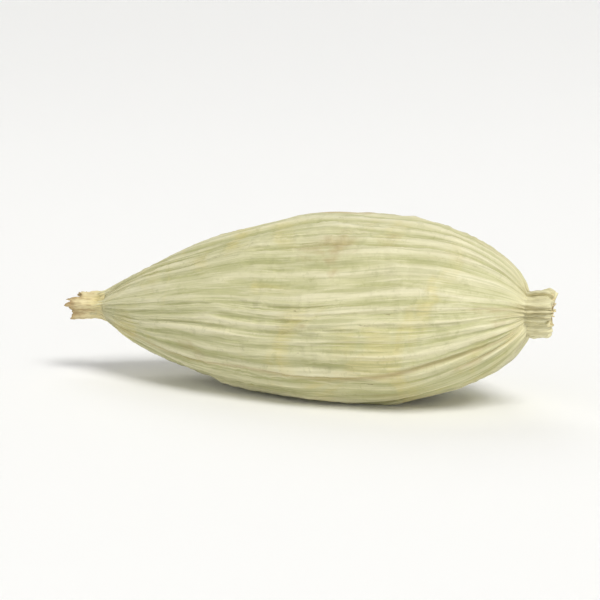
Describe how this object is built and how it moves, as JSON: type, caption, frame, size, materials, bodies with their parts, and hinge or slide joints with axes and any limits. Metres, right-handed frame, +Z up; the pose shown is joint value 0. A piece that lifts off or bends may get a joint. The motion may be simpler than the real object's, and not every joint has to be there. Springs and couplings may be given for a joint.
{
  "type": "green cardamom pod",
  "caption": "Dried green cardamom pod, closed: a three-sided, ribbed seed capsule with a short torn stalk stub and a withered flower tip.",
  "frame": {"origin": "centre of the pod's bounding box, seen from above, at the height of the surface that it rests on", "axes": "+X along the pod from the withered flower tip to the stalk stub, +Z up with one face of the three down"},
  "size_m": [0.017, 0.0062, 0.0059],
  "materials": {
    "dried_husk": "satin"
  },
  "bodies": {
    "root": {"pod": "dried_husk"}
  },
  "joints": []
}
